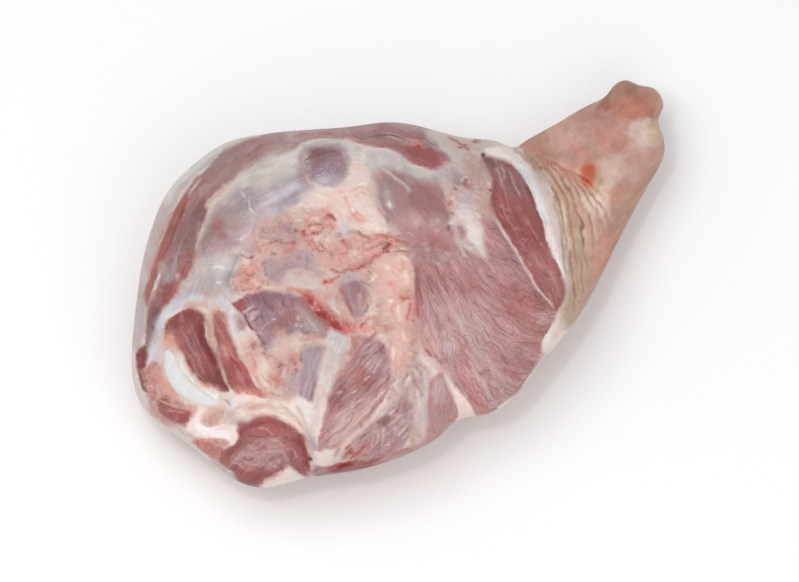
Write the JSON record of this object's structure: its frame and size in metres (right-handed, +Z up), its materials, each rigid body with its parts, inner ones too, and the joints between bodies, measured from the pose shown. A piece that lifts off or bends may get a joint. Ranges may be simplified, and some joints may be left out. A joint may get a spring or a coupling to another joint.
{
  "type": "raw pork shoulder",
  "caption": "Whole raw pork shoulder with shank and rind, lying on its rind with the boned inner face up and the end of the blade bone showing.",
  "frame": {"origin": "centre of the bounding box in plan, at the level of the table", "axes": "+Z up, +X towards the shank end, -Y towards the edge that the picture shows lowest"},
  "size_m": [0.3996, 0.3434, 0.1104],
  "materials": {
    "raw_meat": "moist raw pork, pale pink muscle with white fat",
    "bone": "moist blue-white bone and gristle"
  },
  "bodies": {
    "root": {"pork_shoulder": "raw_meat", "blade_bone": "bone"}
  },
  "joints": []
}
